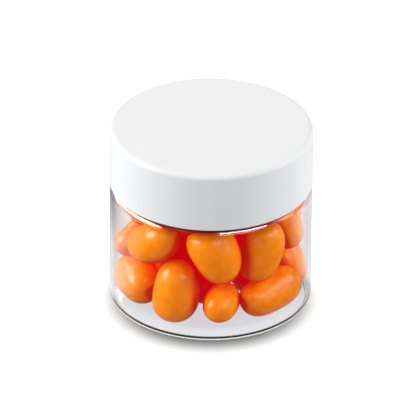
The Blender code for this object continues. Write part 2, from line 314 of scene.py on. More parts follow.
# Light on its way to the mints, or from one to the next, goes straight through it and loses a little
passing = add_node(clear, "ShaderNodeBsdfTransparent", Color=linear("f5f5f7"))
ray = add_node(clear, "ShaderNodeLightPath").outputs
lit_ray = add_node(
    clear, "ShaderNodeMath", {"operation": "MAXIMUM"}, _0=ray["Is Shadow Ray"], _1=ray["Is Diffuse Ray"]
)
mixed = add_node(
    clear,
    "ShaderNodeMixShader",
    _0=lit_ray.outputs["Value"],
    _1=plastic.outputs["BSDF"],
    _2=passing.outputs["BSDF"],
)
add_node(clear, "ShaderNodeOutputMaterial", Surface=mixed.outputs["Shader"], Volume=depth.outputs["Volume"])
jar.data.materials.append(clear)
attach(jar, "root")
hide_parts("jar")


# ---- Mints ---------------------------------------------------------------------------------------------
# The real mints are small centres, panned in a drum until an orange sugar shell has grown round them. They
# are oblong, no two alike, lie loose, and fill the jar up to its rim.

FRONT_MINTS = (
    # bearing in degrees from the front, height of the middle, lean from level, turn out of the wall,
    # length, width, distance in from the wall
    (-115, 0.0108, -10, 10, 0.0140, 0.0086, 0.0),
    (-90, 0.0139, 0, 84, 0.0150, 0.0080, 0.0),
    (-72, 0.0066, 4, -4, 0.0162, 0.0103, 0.0),
    (-46, 0.0217, 34, -4, 0.0156, 0.0103, 0.0),
    (-27, 0.0096, 88, -4, 0.0162, 0.0114, 0.0),
    (3.5, 0.0213, -65, 1, 0.0158, 0.0119, 0.0),
    (9.5, 0.0069, 163, 67, 0.0140, 0.0088, 0.0),
    (41.5, 0.0199, 80, 10, 0.0163, 0.0105, 0.0),
    (51.5, 0.0065, 3, 6, 0.0172, 0.0099, 0.0),
    (73, 0.0240, 79, -30, 0.0158, 0.0098, 0.0006),
    (95, 0.0094, 52, -23, 0.0157, 0.0103, 0.0),
)
HEAP_TOP = 0.0440
LOOSE_MINTS = 33
POUR_SEED = 7
LOOSE_LENGTHS = (0.0146, 0.0170)
LOOSE_WIDTHS = (0.0096, 0.0110)
POUR_RADIUS = 0.015
POUR_HEIGHTS = (0.006, 0.075)
STEPS = 1200
SINKING = 0.5  # share of the steps in which they sink at full speed
SLOWING = 0.6  # and at a slow speed
SINK = 0.00016
SLOW_SINK = 0.00002
EASY_GIVING = 0.6  # share of a push that a mint gives way to in one step, until the slowing is over
FULL_GIVING = 0.9  # and after it
TURNING = 6.0  # how far a push turns a mint, against the square of its length
UPRIGHTNESS = 0.6  # under 1, they start out lying flatter than at random
DECIMALS = 7  # kept after every step, so that the heap comes out the same on any machine
HAIR = 1e-9  # keeps a distance from being nought
BEADS = 5  # balls along a mint's axis, which stand for it while it sinks
BEAD_END = 0.74  # size of the last ball, as a share of the mint's width


def inside_radius(height):
    """The jar's inside radius at a height: its wall, then the shoulder's slope, then the neck."""
    return np.interp(height, (inner_top - SHOULDER_WALL, inner_top), (inside, neck_inside))


def beads_of(lengths, widths):
    """Each mint's balls: their places along its axis, and their radii, which shrink towards its ends."""
    places = np.linspace(-1, 1, BEADS)
    reach = (lengths - BEAD_END * widths) / 2
    return places * reach[:, None], widths[:, None] / 2 * (1 - (1 - BEAD_END) * places**2)


def seated_mint(bearing, height, lean, turn_out, length, width, inset):
    """The middle and the long axis of a mint that touches the wall, or lies in from it by the inset."""
    bearing, lean, turn_out = (math.radians(angle) for angle in (bearing, lean, turn_out))
    outward = np.array((math.sin(bearing), -math.cos(bearing), 0.0))
    level = np.array((math.cos(bearing), math.sin(bearing), 0.0))
    upward = np.array((0.0, 0.0, 1.0))
    along_wall = math.cos(lean) * level + math.sin(lean) * upward
    axis = math.cos(turn_out) * along_wall + math.sin(turn_out) * outward
    places, radii = beads_of(np.array((length,)), np.array((width,)))
    offsets = places[0][:, None] * axis
    height = max(height, FLOOR + (radii[0] - offsets[:, 2]).max())
    room = inside_radius(height + offsets[:, 2]) - radii[0]
    ahead = offsets @ outward
    aside = (offsets[:, :2] ** 2).sum(axis=1) - ahead**2
    middle = outward * ((np.sqrt(room**2 - aside) - ahead).min() - inset)
    middle[2] = height
    return middle, axis


def poured_mints():
    """Middles, long axes, lengths and widths of all mints: the front ones, and the loose ones at rest.

    Each step moves a loose mint down a little, and out of every mint, wall or floor that one of its balls
    has entered, and turns it by the same pushes' torque about its middle. Two loose mints share a push
    between them; a front one is held, and leaves all of it to the loose one.
    """
    draw = np.random.default_rng(POUR_SEED)
    *_, shown_lengths, shown_widths, _ = zip(*FRONT_MINTS)
    lengths = np.concatenate((shown_lengths, draw.uniform(*LOOSE_LENGTHS, LOOSE_MINTS)))
    widths = np.concatenate((shown_widths, draw.uniform(*LOOSE_WIDTHS, LOOSE_MINTS)))
    bearings = draw.uniform(0, 2 * math.pi, LOOSE_MINTS)
    radii = POUR_RADIUS * np.sqrt(draw.uniform(0, 1, LOOSE_MINTS))
    heights = np.linspace(*POUR_HEIGHTS, LOOSE_MINTS)
    poured = np.stack((radii * np.cos(bearings), radii * np.sin(bearings), heights), axis=1)
    tumbled = draw.normal(size=(LOOSE_MINTS, 3)) * (1.0, 1.0, UPRIGHTNESS)
    tumbled /= np.linalg.norm(tumbled, axis=1)[:, None]
    seated = [seated_mint(*shown) for shown in FRONT_MINTS]
    middles = np.concatenate(([middle for middle, _ in seated], poured))
    axes = np.concatenate(([axis for _, axis in seated], tumbled))
    count = len(middles)
    loose = (np.arange(count) >= len(FRONT_MINTS)).astype(float)[:, None]
    places, sizes = beads_of(lengths, widths)
    owner = np.repeat(np.arange(count), BEADS)
    sizes = sizes.ravel()
    touching = sizes[:, None] + sizes
    touching[owner[:, None] == owner] = 0.0
    share = 1 - loose[owner].T / 2  # one half from a loose mint, and the whole from a held one
    for step in range(STEPS):
        arms = places[..., None] * axes[:, None]
        balls = (middles[:, None] + arms).reshape(-1, 3)
        apart = balls[:, None] - balls
        distance = np.sqrt((apart**2).sum(axis=-1)) + HAIR
        push = (apart * (np.maximum(touching - distance, 0) * share / distance)[..., None]).sum(axis=1)
        radius = np.hypot(balls[:, 0], balls[:, 1]) + HAIR
        outside = np.maximum(radius + sizes - inside_radius(balls[:, 2]), 0) / radius
        push[:, :2] -= outside[:, None] * balls[:, :2]
        push[:, 2] += np.maximum(FLOOR + sizes - balls[:, 2], 0)
        if step > SINKING * STEPS:
            push[:, 2] -= np.maximum(balls[:, 2] + sizes - HEAP_TOP, 0)
        push = push.reshape(count, BEADS, 3)
        hits = np.maximum((np.abs(push).sum(axis=-1) > 0).sum(axis=1), 1)[:, None]
        turn = np.cross(arms, push).sum(axis=1) / hits * TURNING / (lengths**2)[:, None]
        giving = EASY_GIVING if step < SLOWING * STEPS else FULL_GIVING
        move = push.sum(axis=1) / hits * giving
        if step < SINKING * STEPS:
            move[:, 2] -= SINK
        elif step < SLOWING * STEPS:
            move[:, 2] -= SLOW_SINK
        middles = np.round(middles + move * loose, DECIMALS)
        axes = axes + np.cross(turn, axes) * loose
        axes = np.round(axes / np.linalg.norm(axes, axis=1)[:, None], DECIMALS)
    return middles, axes, lengths, widths


MINT_ROWS = 38
MINT_COLUMNS = 44
FULLNESS = 2.25  # exponent of a mint's outline: 2 is an ellipse, and more is squarer
# The front mints have their own: fullness, and how much thicker the second end is than the first
FRONT_FULLNESS = (2.3, 2.3, 2.7, 2.3, 2.35, 2.5, 2.3, 2.45, 2.9, 2.3, 2.3)
FRONT_TAPERS = (0.0, 0.0, 0.0, 0.0, -0.09, -0.09, 0.03, -0.02, 0.03, 0.0, 0.0)
SHAPE_SEED = 11
TAPER = 0.07  # how much thicker one end may be than the other
BEND = 0.035  # how far the middle may bow, as a share of the length
BOW_LEVEL = 0.4  # takes back this share of the bow, so that the mint stays about its own middle
FLATNESS = 0.05  # how much thinner it may be one way than the other
LUMPS = 0.012  # height of its low lumps, as a share of its width
LENGTHWISE = 0.8  # height of the waves along it, against those round it
PHASES = 6  # angles drawn for each mint: five for its waves, and one that turns it about its axis
SETTLING = 4  # times that each mint is moved clear of the wall, the floor and the lid
TOUCH = 0.00003  # clear gap that is left each time


def mint_shapes(middles, axes, lengths, widths):
    """Rings and poles of every mint.

    Its outline is a superellipse turned about the long axis: along it runs cos t and across it sin t, over
    the root that makes the sum of their powers one. One end is thickened by a straight taper, the axis bows
    by a parabola, one width is less than the other, and low lumps are sums of waves round and along it. Last,
    each mint is shifted, unturned, until all of it is clear of the wall, the floor and the lid.
    """
    draw = np.random.default_rng(SHAPE_SEED)
    count = len(middles)
    t = (np.arange(MINT_ROWS + 2) / (MINT_ROWS + 1) * math.pi)[None, :, None]
    p = np.linspace(0, 2 * math.pi, MINT_COLUMNS, endpoint=False)[None, None, :]

    def each(values):
        return np.asarray(values)[:, None, None]

    taper = draw.uniform(-TAPER, TAPER, count)
    taper[: len(FRONT_TAPERS)] = FRONT_TAPERS
    taper = each(taper)
    bend = each(draw.uniform(-BEND, BEND, count) * lengths)
    flat = each(draw.uniform(0, FLATNESS, count))
    phase = [each(draw.uniform(0, 2 * math.pi, count)) for _ in range(PHASES)]
    power = each(np.concatenate((FRONT_FULLNESS, np.full(count - len(FRONT_FULLNESS), FULLNESS))))
    root = (np.abs(np.cos(t)) ** power + np.abs(np.sin(t)) ** power) ** (-1 / power)
    along = -root * np.cos(t)
    across = root * np.sin(t)
    broad = np.sin(2 * p + phase[0]) * np.sin(1.5 * t + phase[1])
    narrow = np.sin(3 * p + phase[2]) * np.sin(2 * t + phase[3])
    lump = (broad + narrow) * np.sin(t) + LENGTHWISE * np.sin(3 * along + phase[4])
    radius = each(widths) / 2 * across * (1 + taper * along) * (1 + LUMPS * lump)
    x = each(lengths) / 2 * along * np.ones_like(p)
    y = radius * np.cos(p + phase[5]) + bend * (along**2 - BOW_LEVEL)
    z = radius * np.sin(p + phase[5]) * (1 - flat)
    outward = middles * (1.0, 1.0, 0.0) + (HAIR, 0.0, 0.0)
    side = np.cross(axes, outward)
    side /= np.linalg.norm(side, axis=1)[:, None]
    third = np.cross(axes, side)
    basis = np.stack((axes, side, third), axis=1)
    shapes = np.einsum("nijk,nkl->nijl", np.stack((x, y, z), axis=-1), basis) + middles[:, None, None]
    for _ in range(SETTLING):
        radii = np.hypot(shapes[..., 0], shapes[..., 1])
        height = shapes[..., 2]
        inward = np.maximum(radii - inside_radius(height) + TOUCH, 0).max(axis=(1, 2))
        lift = np.maximum(FLOOR + TOUCH - height, 0).max(axis=(1, 2))
        drop = np.maximum(height - HEAP_TOP, 0).max(axis=(1, 2))
        centre = shapes.mean(axis=(1, 2))
        centre[:, 2] = 0
        shift = -centre / (np.linalg.norm(centre, axis=1)[:, None] + HAIR) * inward[:, None]
        shift[:, 2] = lift - drop
        shapes = shapes + shift[:, None, None]
    return shapes[:, 1:-1], np.stack((shapes[:, 0, 0], shapes[:, -1, 0]), axis=1)


# Painted shade: the mints are painted darker and redder where less light comes straight to them, as counted
# here
FACING_UP_SHARE = 1.6  # how soon facing up makes up for what the neighbours take
FACING_DOWN_SHARE = 0.6  # what facing straight down adds
LID_SHARE = 0.9  # what facing straight up close under the lid adds
LID_SHADE_FROM = 0.0220  # height from which the lid counts
LID_SHADE_TO = 0.0290  # and at which it counts in full


def painted_shade_amount(rings, poles, middles, axes, lengths, widths):
    """How little light comes straight to each point: 0 where it is in the open, and about 1 in close corners.

    The other mints stand as their balls, and a ball takes the cosine of its direction from the point's own
    outward one, times the square of its radius over its distance. Outward is the way from the mint's middle,
    stretched to the mint's proportions. That counts less the more the point faces up, and facing down adds.
    So does facing up close under the lid.
    """
    count = len(middles)
    places, sizes = beads_of(lengths, widths)
    balls = (middles[:, None] + places[..., None] * axes[:, None]).reshape(-1, 3)
    sizes = sizes.ravel()
    owner = np.repeat(np.arange(count), BEADS)
    taken = []
    for k in range(count):
        points = np.concatenate((rings[k].reshape(-1, 3), poles[k]))
        from_middle = points - points.mean(axis=0)
        along = from_middle @ axes[k]
        outward = from_middle - np.outer(along, axes[k]) * (1 - (widths[k] / lengths[k]) ** 2)
        outward /= np.linalg.norm(outward, axis=1)[:, None]
        others = owner != k
        ways = balls[others] - points[:, None]
        distance = np.maximum(np.linalg.norm(ways, axis=2), sizes[others])
        cosine = np.maximum((ways * outward[:, None]).sum(axis=2) / distance, 0)
        facing_up = outward[:, 2]
        sideways = np.clip(1 - FACING_UP_SHARE * facing_up, 0, 1)
        by_others = (cosine * (sizes[others] / distance) ** 2).sum(axis=1) * sideways
        by_floor = -FACING_DOWN_SHARE * np.minimum(facing_up, 0)
        near_lid = np.clip((points[:, 2] - LID_SHADE_FROM) / (LID_SHADE_TO - LID_SHADE_FROM), 0, 1)
        taken.append(by_others + by_floor + LID_SHARE * near_lid * np.maximum(facing_up, 0))
    return np.concatenate(taken)


middles, axes, lengths, widths = poured_mints()
mint_rings, mint_poles = mint_shapes(middles, axes, lengths, widths)
mints = closed_piece("sugar_shelled_mints", mint_rings, mint_poles)
# How much painted shade each point of the mints gets
hemmed = mints.data.attributes.new("painted_shade_amount", "FLOAT", "POINT")
outlook = painted_shade_amount(mint_rings, mint_poles, middles, axes, lengths, widths)
hemmed.data.foreach_set("value", outlook.astype(np.float32))
tints = np.random.default_rng(SHAPE_SEED + 1).uniform(0, 1, len(middles))
tint = mints.data.attributes.new("mint_tint", "FLOAT", "POINT")
tint.data.foreach_set("value", np.repeat(tints, MINT_ROWS * MINT_COLUMNS + 2).astype(np.float32))

# Panned sugar, coloured orange and not fully polished: a satin shell with soft highlights, a mottle where
# the colour took unevenly, and the fine orange peel that the drum leaves.
MOTTLE_SIZE = 0.0018
PATCHES_FROM = 0.32  # part of the noise over which one colour turns into the other
PATCHES_TO = 0.70
NOISE_LOW = 0.3  # nearly all of a noise lies between these two
NOISE_HIGH = 0.7
PEEL_SIZE = 0.0009
PEEL_HEIGHT = 0.00002
SMOOTHEST = 0.16
ROUGHEST = 0.23
SUGAR_IOR = 1.5
shell = new_material("panned_orange_sugar_shell")
place = add_node(shell, "ShaderNodeTexCoord").outputs["Object"]
own = add_node(shell, "ShaderNodeAttribute", {"attribute_name": "mint_tint"}).outputs["Fac"]
each_colour = add_node(
    shell, "ShaderNodeMix", {"data_type": "RGBA"}, _0=own, _6=linear("fa9000"), _7=linear("f48000")
)
mottle = add_node(
    shell, "ShaderNodeTexNoise", Vector=place, Scale=1 / MOTTLE_SIZE, Detail=3.0, Roughness=0.55
)
patches = add_node(shell, "ShaderNodeMapRange", Value=mottle.outputs["Fac"], _1=PATCHES_FROM, _2=PATCHES_TO)
colour = add_node(
    shell,
    "ShaderNodeMix",
    {"data_type": "RGBA"},
    _0=patches.outputs["Result"],
    _6=each_colour.outputs[2],
    _7=linear("fea204"),
)
# Painted shade: where its neighbours are close, a shell is painted a darker red, for the light there, which
# has been from shell to shell and is redder
PAINTED_SHADE_FROM = 0.34
PAINTED_SHADE_TO = 1.15
PAINTED_SHADE_SHARE = 0.9
near = add_node(shell, "ShaderNodeAttribute", {"attribute_name": "painted_shade_amount"}).outputs["Fac"]
closeness = add_node(
    shell, "ShaderNodeMapRange", Value=near, _1=PAINTED_SHADE_FROM, _2=PAINTED_SHADE_TO, _3=0.0, _4=PAINTED_SHADE_SHARE
)
painted_shade_colour = add_node(
    shell,
    "ShaderNodeMix",
    {"data_type": "RGBA"},
    _0=closeness.outputs["Result"],
    _6=colour.outputs[2],
    _7=linear("ac3000"),
)
# Painted shade: deep in the heap, where only the red of the light is left, the mints are painted dark red.
# The lowest mints aren't deep, because the floor lights them.
DEEP_WITHIN = 0.0135  # from the axis
LIT_BEYOND = 0.0160
DEEP_ABOVE = 0.0055  # from the table
LIT_BELOW = 0.0030
PAINTED_DEEP_RED = (0.66, 0.0, 0.010, 1.0)
flat_place = add_node(
    shell, "ShaderNodeVectorMath", {"operation": "MULTIPLY"}, _0=place, _1=(1.0, 1.0, 0.0)
)
reach = add_node(shell, "ShaderNodeVectorMath", {"operation": "LENGTH"}, _0=flat_place.outputs["Vector"])
by_wall = add_node(shell, "ShaderNodeMapRange", Value=reach.outputs["Value"], _1=DEEP_WITHIN, _2=LIT_BEYOND)
height = add_node(shell, "ShaderNodeSeparateXYZ", Vector=place).outputs["Z"]
by_bottom = add_node(shell, "ShaderNodeMapRange", Value=height, _1=DEEP_ABOVE, _2=LIT_BELOW)
outer = add_node(
    shell,
    "ShaderNodeMath",
    {"operation": "MAXIMUM"},
    _0=by_wall.outputs["Result"],
    _1=by_bottom.outputs["Result"],
)
painted_deep_red = add_node(
    shell,
    "ShaderNodeMix",
    {"data_type": "RGBA"},
    _0=outer.outputs["Value"],
    _6=PAINTED_DEEP_RED,
    _7=painted_shade_colour.outputs[2],
)
# Painted light: the shells glow a little red, for light that has gone through them. The glow is least in the
# open and close under the lid, where little light goes in.
PAINTED_GLOW_COLOUR = (1.0, 0.0, 0.012, 1.0)
GLOW_IN_OPEN = 0.19
GLOW_HEMMED_IN = 0.27
GLOW_FROM = 0.22
GLOW_TO = 1.10
GLOW_DEEP = 0.24
LID_DIMS_FROM = 0.0255
LID_DIMS_TO = 0.0300
LEFT_BY_LID = 0.3
through = add_node(
    shell, "ShaderNodeMapRange", Value=near, _1=GLOW_FROM, _2=GLOW_TO, _3=GLOW_IN_OPEN, _4=GLOW_HEMMED_IN
)
passed_on = add_node(
    shell, "ShaderNodeMapRange", Value=outer.outputs["Value"], _3=GLOW_DEEP, _4=through.outputs["Result"]
)
under_lid = add_node(
    shell, "ShaderNodeMapRange", Value=height, _1=LID_DIMS_FROM, _2=LID_DIMS_TO, _3=1.0, _4=LEFT_BY_LID
)
painted_glow = add_node(
    shell,
    "ShaderNodeMath",
    {"operation": "MULTIPLY"},
    _0=passed_on.outputs["Result"],
    _1=under_lid.outputs["Result"],
)
peel = add_node(shell, "ShaderNodeTexNoise", Vector=place, Scale=1 / PEEL_SIZE, Detail=2.0)
peeled = add_node(shell, "ShaderNodeBump", Strength=0.5, Distance=PEEL_HEIGHT, Height=peel.outputs["Fac"])
satin = add_node(
    shell,
    "ShaderNodeMapRange",
    Value=mottle.outputs["Fac"],
    _1=NOISE_LOW,
    _2=NOISE_HIGH,
    _3=SMOOTHEST,
    _4=ROUGHEST,
)
sugar = add_node(
    shell,
    "ShaderNodeBsdfPrincipled",
    Base_Color=painted_deep_red.outputs[2],
    Roughness=satin.outputs["Result"],
    IOR=SUGAR_IOR,
    Emission_Color=PAINTED_GLOW_COLOUR,
    Emission_Strength=painted_glow.outputs["Value"],
    Normal=peeled.outputs["Normal"],
)
add_node(shell, "ShaderNodeOutputMaterial", Surface=sugar.outputs["BSDF"])
mints.data.materials.append(shell)
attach(mints, "root")
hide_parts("mints")


# ---- Lid -----------------------------------------------------------------------------------------------
# The real lid is a plain screw cap, injection moulded from white polypropylene. Its top edge is rounded,
# its skirt is smooth, and a single thread inside holds it on the neck.

LID_RADIUS = 0.0250
LID_FOOT = 0.0315
LID_TOP = 0.0466
LID_ROUND = 0.0012
LID_WALL = 0.0015
LID_EDGE = 0.0003
LID_SEGMENTS = 224

lid_inside = LID_RADIUS - LID_WALL
lid_profile = rounded(
    (
        (0, LID_TOP - LID_WALL),
        (lid_inside, LID_TOP - LID_WALL),
        (lid_inside, LID_FOOT),
        (LID_RADIUS, LID_FOOT),
        (LID_RADIUS, LID_TOP),
        (0, LID_TOP),
    ),
    (LID_EDGE, LID_EDGE, LID_EDGE, LID_ROUND),
)
lid_profile, lid_rows = spliced(
    lid_profile, (lid_inside, LID_TOP - LID_WALL - LID_EDGE), (lid_inside, LID_FOOT + LID_EDGE), THREAD_ROWS
)
lid_rings, lid_poles = turned(lid_profile, LID_SEGMENTS)
with_thread(lid_rings, lid_rows, -1, NECK_THREAD_START - THREAD_PITCH / 2)
lid = closed_piece("screw_lid", lid_rings, lid_poles)

# Polypropylene, moulded against finely sparked steel: a satin white that spreads its highlights widely,
# with a grain too fine to see one by one.
SPARK_SIZE = 0.00025  # coarser than the real 0.05 mm, which is too fine to show
SPARK_HEIGHT = 0.000004
FLOW_SIZE = 0.012  # of the faint clouds that the flow of the melt leaves
GLOSSIEST = 0.34
DULLEST = 0.40
POLYPROPYLENE_IOR = 1.49
cap = new_material("moulded_white_polypropylene")
place = add_node(cap, "ShaderNodeTexCoord").outputs["Object"]
sparks = add_node(cap, "ShaderNodeTexNoise", Vector=place, Scale=1 / SPARK_SIZE, Detail=2.0)
grain = add_node(cap, "ShaderNodeBump", Strength=0.4, Distance=SPARK_HEIGHT, Height=sparks.outputs["Fac"])
flow = add_node(cap, "ShaderNodeTexNoise", Vector=place, Scale=1 / FLOW_SIZE, Detail=2.0)
white = add_node(
    cap,
    "ShaderNodeMix",
    {"data_type": "RGBA"},
    _0=flow.outputs["Fac"],
    _6=linear("dededf"),
    _7=linear("e2e2e3"),
)
matt = add_node(
    cap,
    "ShaderNodeMapRange",
    Value=flow.outputs["Fac"],
    _1=NOISE_LOW,
    _2=NOISE_HIGH,
    _3=GLOSSIEST,
    _4=DULLEST,
)
polymer = add_node(
    cap,
    "ShaderNodeBsdfPrincipled",
    Base_Color=white.outputs[2],
    Roughness=matt.outputs["Result"],
    IOR=POLYPROPYLENE_IOR,
    Normal=grain.outputs["Normal"],
)
add_node(cap, "ShaderNodeOutputMaterial", Surface=polymer.outputs["BSDF"])
lid.data.materials.append(cap)
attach(lid, "root")
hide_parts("lid")


# ---- Floor, light and camera ---------------------------------------------------------------------------
# The jar stands on white paper that is lit from below, as on a catalogue maker's light table. Softboxes stand
# round it in a pale room, and black cards keep what the clear plastic mirrors dark.

FLOOR_SIZE = 6.0
FLOOR_DROP = 0.00002  # keeps the floor from lying in the foot's own plane
half = FLOOR_SIZE / 2
ground = bpy.data.meshes.new("floor")
corners = [(x * half, y * half, -FLOOR_DROP) for x, y in ((-1, -1), (1, -1), (1, 1), (-1, 1))]
ground.from_pydata(corners, [], [(0, 1, 2, 3)])
floor = bpy.data.objects.new("floor", ground)
bpy.context.scene.collection.objects.link(floor)

# The paper glows evenly, but for a soft shadow that is painted into its glow round the jar's foot
PAINTED_SHADOW_SHIFT = 0.0045  # how far the shade lies towards the front
PAINTED_SHADOW_INSIDE = 0.0192
PAINTED_SHADOW_OUTSIDE = 0.0282
GLOW = 0.92
GLOW_IN_PAINTED_SHADOW = 0.03
GLOW_UNDER = 0.93  # under the jar's clear bottom
paper = new_material("white_paper_sweep")
place = add_node(paper, "ShaderNodeTexCoord").outputs["Object"]
shifted = add_node(
    paper, "ShaderNodeVectorMath", {"operation": "ADD"}, _0=place, _1=(0.0, PAINTED_SHADOW_SHIFT, 0.0)
)
from_painted_shadow = add_node(paper, "ShaderNodeVectorMath", {"operation": "LENGTH"}, _0=shifted.outputs["Vector"])
painted_foot_shadow = add_node(
    paper,
    "ShaderNodeMapRange",
    {"interpolation_type": "SMOOTHSTEP"},
    Value=from_painted_shadow.outputs["Value"],
    _1=PAINTED_SHADOW_INSIDE,
    _2=PAINTED_SHADOW_OUTSIDE,
    _3=GLOW_IN_PAINTED_SHADOW,
    _4=GLOW,
)
from_middle = add_node(paper, "ShaderNodeVectorMath", {"operation": "LENGTH"}, _0=place).outputs["Value"]
under = add_node(
    paper, "ShaderNodeMath", {"operation": "LESS_THAN"}, _0=from_middle, _1=JAR_RADIUS - FOOT_CORNER
)
lifted = add_node(
    paper, "ShaderNodeMath", {"operation": "MULTIPLY"}, _0=under.outputs["Value"], _1=GLOW_UNDER
)
glow = add_node(
    paper,
    "ShaderNodeMath",
    {"operation": "MAXIMUM"},
    _0=painted_foot_shadow.outputs["Result"],
    _1=lifted.outputs["Value"],
)

# In reflections the table is dark in front and white behind, as if black cards lay on it out of sight. The
# white comes nearer to the front on the left, and is greyest straight behind.
SIDE_BLEND = 0.30  # how far to either side of the middle the left turns into the right
LEFT_REACH = 0.35
CARDS_END = -0.08
WHITE_FROM = 0.22
CARDS_GLOW = 0.02
WHITE_GLOW = 0.95
GREYER_FROM = 0.10
GREYEST_FROM = 0.60
GREYEST = 0.86
depths = add_node(paper, "ShaderNodeLightPath").outputs
mirrored = add_node(
    paper, "ShaderNodeMath", {"operation": "GREATER_THAN"}, _0=depths["Glossy Depth"], _1=0.5
)
outward = add_node(paper, "ShaderNodeVectorMath", {"operation": "NORMALIZE"}, _0=place)
bearing = add_node(paper, "ShaderNodeSeparateXYZ", Vector=outward.outputs["Vector"])
on_left = add_node(paper, "ShaderNodeMapRange", Value=bearing.outputs["X"], _1=SIDE_BLEND, _2=-SIDE_BLEND)
behind = add_node(
    paper,
    "ShaderNodeMath",
    {"operation": "MULTIPLY_ADD"},
    _0=on_left.outputs["Result"],
    _1=LEFT_REACH,
    _2=bearing.outputs["Y"],
)
opening = add_node(
    paper,
    "ShaderNodeMapRange",
    Value=behind.outputs["Value"],
    _1=CARDS_END,
    _2=WHITE_FROM,
    _3=CARDS_GLOW,
    _4=WHITE_GLOW,
)
closing = add_node(
    paper,
    "ShaderNodeMapRange",
    Value=bearing.outputs["Y"],
    _1=GREYER_FROM,
    _2=GREYEST_FROM,
    _3=1.0,
    _4=GREYEST,
)
cards = add_node(
    paper,
    "ShaderNodeMath",
    {"operation": "MULTIPLY"},
    _0=opening.outputs["Result"],
    _1=closing.outputs["Result"],
)
# The cards leave a narrow ring of the table bare, right beside the foot
RING_INSIDE = 0.029
RING_OUTSIDE = 0.034
RING_GLOW = 0.6
beside = add_node(
    paper,
    "ShaderNodeMapRange",
    Value=from_middle,
    _1=RING_INSIDE,
    _2=RING_OUTSIDE,
    _3=RING_GLOW,
    _4=CARDS_GLOW,
)
uncovered = add_node(
    paper,
    "ShaderNodeMath",
    {"operation": "MAXIMUM"},
    _0=cards.outputs["Value"],
    _1=beside.outputs["Result"],
)
# The mints mirror the near part of the table less than the jar does. The far part is dimmer on the left.
NEAR_PART = 0.040
FAR_PART = 0.060
JAR_DEPTH = 2.0  # a ray has crossed the plastic this often at most when the jar's inside mirrors it
MINTS_DEPTH = 3.0  # and this often at least when it comes back out from a mint
IN_MINTS = 0.3
FAR_LEFT_LOSS = -0.55
by_shells = add_node(
    paper,
    "ShaderNodeMapRange",
    Value=depths["Transmission Depth"],
    _1=JAR_DEPTH,
    _2=MINTS_DEPTH,
    _3=1.0,
    _4=IN_MINTS,
)
far_left = add_node(
    paper,
    "ShaderNodeMath",
    {"operation": "MULTIPLY_ADD"},
    _0=on_left.outputs["Result"],
    _1=FAR_LEFT_LOSS,
    _2=1.0,
)
fading = add_node(
    paper,
    "ShaderNodeMapRange",
    Value=from_middle,
    _1=NEAR_PART,
    _2=FAR_PART,
    _3=by_shells.outputs["Result"],
    _4=far_left.outputs["Value"],
)
dimmed = add_node(
    paper,
    "ShaderNodeMath",
    {"operation": "MULTIPLY"},
    _0=uncovered.outputs["Value"],
    _1=fading.outputs["Result"],
)
seen = add_node(
    paper,
    "ShaderNodeMix",
    {"data_type": "FLOAT"},
    _0=mirrored.outputs["Value"],
    _2=glow.outputs["Value"],
    _3=dimmed.outputs["Value"],
)
# The light that the table throws up on the jar comes from farther off, so the mints' undersides stay dark
THROWN_FROM = 0.030
THROWN_TO = 0.060
THROWN_NEAR = 0.10
THROWN_FAR = 0.32
scattered = add_node(
    paper, "ShaderNodeMath", {"operation": "GREATER_THAN"}, _0=depths["Diffuse Depth"], _1=0.5
)
farther = add_node(
    paper,
    "ShaderNodeMapRange",
    Value=from_middle,
    _1=THROWN_FROM,
    _2=THROWN_TO,
    _3=THROWN_NEAR,
    _4=THROWN_FAR,
)
thrown = add_node(
    paper,
    "ShaderNodeMix",
    {"data_type": "FLOAT"},
    _0=scattered.outputs["Value"],
    _2=seen.outputs[0],
    _3=farther.outputs["Result"],
)
# Uncoated paper, a little grey by itself, so that the lamps add little to its glow
body = add_node(
    paper,
    "ShaderNodeMix",
    {"data_type": "RGBA"},
    _0=mirrored.outputs["Value"],
    _6=linear("767c7c"),
    _7=linear("000000"),
)
# The mints throw red light on the paper under the jar's bottom, so its own glow is a little cooler there
through_jar = add_node(
    paper,
    "ShaderNodeMix",
    {"data_type": "RGBA"},
    _0=under.outputs["Value"],
    _6=linear("ffffff"),
    _7=linear("f4ffff"),
)
sheet = add_node(
    paper,
    "ShaderNodeBsdfPrincipled",
    Base_Color=body.outputs[2],
    Roughness=0.8,
    Specular_IOR_Level=0.0,
    Emission_Color=through_jar.outputs[2],
    Emission_Strength=thrown.outputs[0],
)
add_node(paper, "ShaderNodeOutputMaterial", Surface=sheet.outputs["BSDF"])
ground.materials.append(paper)

AIM = np.array((0.0, 0.0, 0.020))  # where all lamps point


def look_at(thing, place, target, roll=0.0):
    """Turns a thing's -Z from its place to the target, with +Y as upright as it can be, then rolls it."""
    back = np.array(place) - np.array(target)
    back /= np.linalg.norm(back)
    right = np.cross((0.0, 0.0, 1.0), back)
    right /= np.linalg.norm(right)
    up = np.cross(back, right)
    turned_right = math.cos(roll) * right + math.sin(roll) * up
    turned_up = math.cos(roll) * up - math.sin(roll) * right
    pose = np.eye(4)
    pose[:3, :3] = np.stack((turned_right, turned_up, back), axis=1)
    pose[:3, 3] = place
    thing.matrix_world = Matrix(pose.tolist())


def softbox(name, bearing, height, distance, size, watts, tone="ffffff"):
    """A rectangular softbox that faces the jar.

    Its bearing from the front, positive to the right, and its height above the table are in degrees.
    """
    lamp = bpy.data.lights.new(name, "AREA")
    lamp.shape = "RECTANGLE"
    lamp.size, lamp.size_y = size
    lamp.energy = watts
    lamp.color = linear(tone)[:3]
    box = bpy.data.objects.new(name, lamp)
    bpy.context.scene.collection.objects.link(box)
    b, h = math.radians(bearing), math.radians(height)
    away = np.array((math.sin(b) * math.cos(h), -math.cos(b) * math.cos(h), math.sin(h)))
    look_at(box, AIM + away * distance, AIM)
    return box


